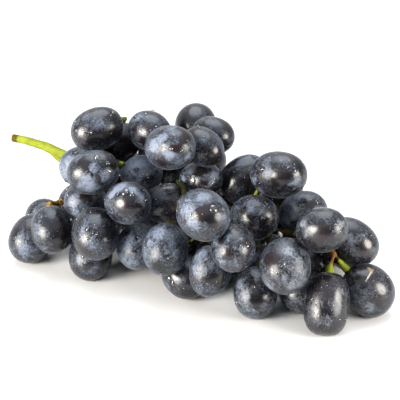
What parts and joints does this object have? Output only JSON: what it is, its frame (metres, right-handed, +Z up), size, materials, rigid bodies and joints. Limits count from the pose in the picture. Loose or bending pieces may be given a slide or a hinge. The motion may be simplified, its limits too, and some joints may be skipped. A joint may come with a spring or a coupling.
{
  "type": "bunch of grapes",
  "caption": "Bunch of black table grapes lying on its side: oval berries with waxy bloom on one green branched stem with a cut end.",
  "frame": {"origin": "on the surface that the bunch lies on, under the middle of its box", "axes": "+X along the bunch from the cut stem to the tip, +Y to the back, +Z up"},
  "size_m": [0.216, 0.102, 0.0774],
  "materials": {
    "grape_skin": "smooth blue-black skin with a patchy pale waxy bloom",
    "stem": "fresh lime-green stalk, browned at its cut end and nodes",
    "water_drops": "clear water beads"
  },
  "bodies": {
    "root": {"grape_shoulder_1": "grape_skin", "grape_shoulder_2": "grape_skin", "grape_shoulder_3": "grape_skin", "grape_shoulder_4": "grape_skin", "grape_upper_left_1": "grape_skin", "grape_upper_left_2": "grape_skin", "grape_upper_left_3": "grape_skin", "grape_upper_left_4": "grape_skin", "grape_lower_left_1": "grape_skin", "grape_lower_left_2": "grape_skin", "grape_lower_left_3": "grape_skin", "grape_lower_left_4": "grape_skin", "grape_lower_left_5": "grape_skin", "grape_neck_1": "grape_skin", "grape_neck_2": "grape_skin", "grape_top_1": "grape_skin", "grape_top_2": "grape_skin", "grape_top_3": "grape_skin", "grape_crown_1": "grape_skin", "grape_crown_2": "grape_skin", "grape_crown_3": "grape_skin", "grape_crown_4": "grape_skin", "grape_front_1": "grape_skin", "grape_front_2": "grape_skin", "grape_front_low_1": "grape_skin", "grape_front_low_2": "grape_skin", "grape_front_low_3": "grape_skin", "grape_front_low_4": "grape_skin", "grape_front_low_5": "grape_skin", "grape_upper_right_1": "grape_skin", "grape_upper_right_2": "grape_skin", "grape_upper_right_3": "grape_skin", "grape_upper_right_4": "grape_skin", "grape_front_right_1": "grape_skin", "grape_front_right_2": "grape_skin", "grape_front_right_3": "grape_skin", "grape_front_right_4": "grape_skin", "grape_front_right_5": "grape_skin", "grape_tip_1": "grape_skin", "grape_tip_2": "grape_skin", "grape_tip_3": "grape_skin", "grape_tip_4": "grape_skin", "grape_tip_5": "grape_skin", "grape_tip_6": "grape_skin", "grape_back_left_1": "grape_skin", "grape_back_left_2": "grape_skin", "grape_back_left_3": "grape_skin", "grape_back_left_4": "grape_skin", "grape_back_left_5": "grape_skin", "grape_back_middle_1": "grape_skin", "grape_back_middle_2": "grape_skin", "grape_back_middle_3": "grape_skin", "grape_back_middle_4": "grape_skin", "grape_back_middle_5": "grape_skin", "grape_back_right_1": "grape_skin", "grape_back_right_2": "grape_skin", "grape_back_right_3": "grape_skin", "grape_back_right_4": "grape_skin", "grape_back_right_5": "grape_skin", "stem": "stem"}
  },
  "joints": []
}
